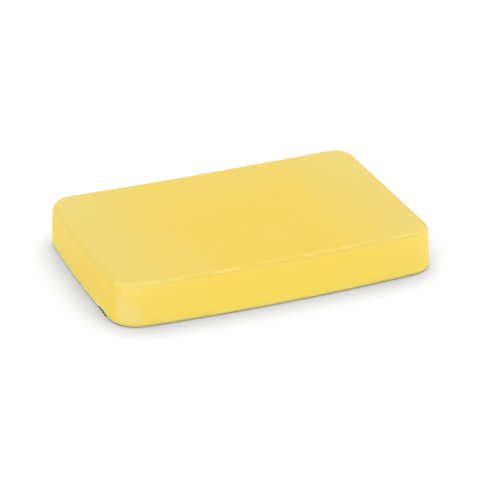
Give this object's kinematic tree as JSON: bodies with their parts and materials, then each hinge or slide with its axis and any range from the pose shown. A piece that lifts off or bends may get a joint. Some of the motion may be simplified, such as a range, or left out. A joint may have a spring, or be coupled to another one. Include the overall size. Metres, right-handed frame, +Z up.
{
  "type": "detailing clay bar",
  "caption": "Flat rounded block of soft waxy clay, kneaded and rubbed over wet car paint to lift bonded dirt.",
  "frame": {"origin": "centre of the flat base of the bar, on the surface that it lies on", "axes": "+X along the bar's length, +Y across its width towards the back, +Z up through its thickness"},
  "size_m": [0.091, 0.0634, 0.012],
  "materials": {
    "detailing_clay": "pale yellow, slightly translucent, waxy satin"
  },
  "bodies": {
    "root": {"clay_bar": "detailing_clay"}
  },
  "joints": []
}
